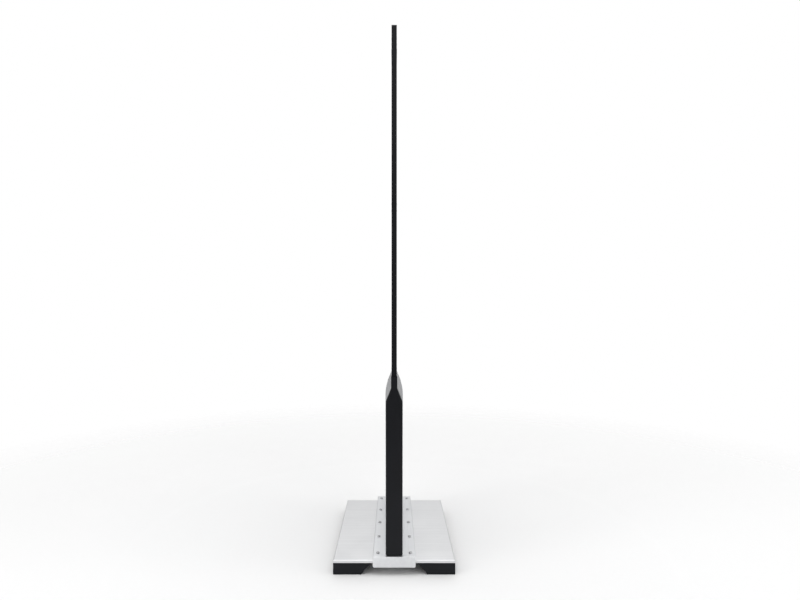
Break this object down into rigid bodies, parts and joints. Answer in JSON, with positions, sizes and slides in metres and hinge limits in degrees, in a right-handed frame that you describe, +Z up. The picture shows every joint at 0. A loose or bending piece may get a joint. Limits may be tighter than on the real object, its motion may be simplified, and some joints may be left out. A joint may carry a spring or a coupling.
{
  "type": "security gate",
  "caption": "Free-standing anti-theft gate: slim framed antenna panel on a narrow housing, on a weighted brushed base plate with two black feet.",
  "frame": {"origin": "on the floor, in the middle of the base", "axes": "+Z up, Y along the gate's depth with the front edge at -Y, X across the passage"},
  "size_m": [0.37, 0.514, 1.665],
  "materials": {
    "base_plate": "brushed satin",
    "foot": "black moulded, satin",
    "ballast": "bare, oiled",
    "rubber": "matt",
    "zinc_fixing": "zinc plated",
    "spine_cover": "brushed satin",
    "spine_screw": "dark nickel",
    "spreader": "black primer",
    "frame": "black powder coat, satin",
    "clear_panel": "clear polished acrylic",
    "copper": "enamelled copper",
    "alarm_lens": "frosted red",
    "circuit_board": "solder mask",
    "end_cap": "black fine texture",
    "side_cover": "silver satin",
    "snap_plastic": "natural nylon",
    "chassis": "galvanised",
    "supply_case": "bare sheet",
    "black_plastic": "moulded",
    "rocker": "moulded red",
    "button": "moulded blue",
    "brass": "turned",
    "wire_jacket": "extruded"
  },
  "bodies": {
    "stand": {"base_plate": "base_plate", "foot_left": "foot", "foot_right": "foot", "ballast_left": "ballast", "ballast_right": "ballast", "foot_pads": "rubber", "foot_screws": "zinc_fixing", "spine_cover": "spine_cover", "spreader_plate": "spreader", "spine_screws": "spine_screw", "cable_grommet": "rubber", "mounting_shoe": "spreader", "gate_bolts": "zinc_fixing", "gate_washers": "zinc_fixing", "gate_nuts": "zinc_fixing", "front_stile": "frame", "rear_stile": "frame", "top_rail": "frame", "lower_rail": "frame", "cross_rail": "frame", "lower_panel": "clear_panel", "upper_panel": "clear_panel", "antenna_loop_upper": "copper", "antenna_loop_lower": "copper", "alarm_lens_left": "alarm_lens", "alarm_lens_right": "alarm_lens", "led_board": "circuit_board", "corner_joiners": "zinc_fixing", "front_cap": "end_cap", "rear_cap": "end_cap", "cover_clips": "snap_plastic", "chassis_plate": "chassis", "chassis_screws": "zinc_fixing", "transceiver_board": "circuit_board", "tuning_board": "circuit_board", "board_standoffs": "brass", "board_screws": "zinc_fixing", "power_supply": "supply_case", "terminal_block": "black_plastic", "fuse_holder": "black_plastic", "earth_stud": "brass", "power_switch_body": "black_plastic", "test_button_body": "black_plastic", "sounder": "black_plastic", "mains_wiring": "wire_jacket", "supply_wiring": "wire_jacket", "antenna_feed": "wire_jacket", "alarm_wiring": "wire_jacket"},
    "left_cover": {"left_cover": "side_cover", "left_cover_studs": "snap_plastic"},
    "right_cover": {"right_cover": "side_cover", "right_cover_studs": "snap_plastic"},
    "power_rocker": {"power_switch_rocker": "rocker"},
    "test_button": {"test_button_cap": "button"}
  },
  "joints": [
    {"name": "left_cover_release", "type": "slide", "parent": "stand", "child": "left_cover", "axis": [-1, 0, 0], "range_m": [0, 0.06]},
    {"name": "right_cover_release", "type": "slide", "parent": "stand", "child": "right_cover", "axis": [1, 0, 0], "range_m": [0, 0.06]},
    {"name": "power_switch_rock", "type": "hinge", "parent": "stand", "child": "power_rocker", "pos_m": [0.0085, -0.03, 0.15], "axis": [0, 1, 0], "range_deg": [-24, 0]},
    {"name": "test_button_press", "type": "slide", "parent": "stand", "child": "test_button", "axis": [-1, 0, 0], "range_m": [0, 0.0015], "stiffness_N_per_m": 300}
  ]
}
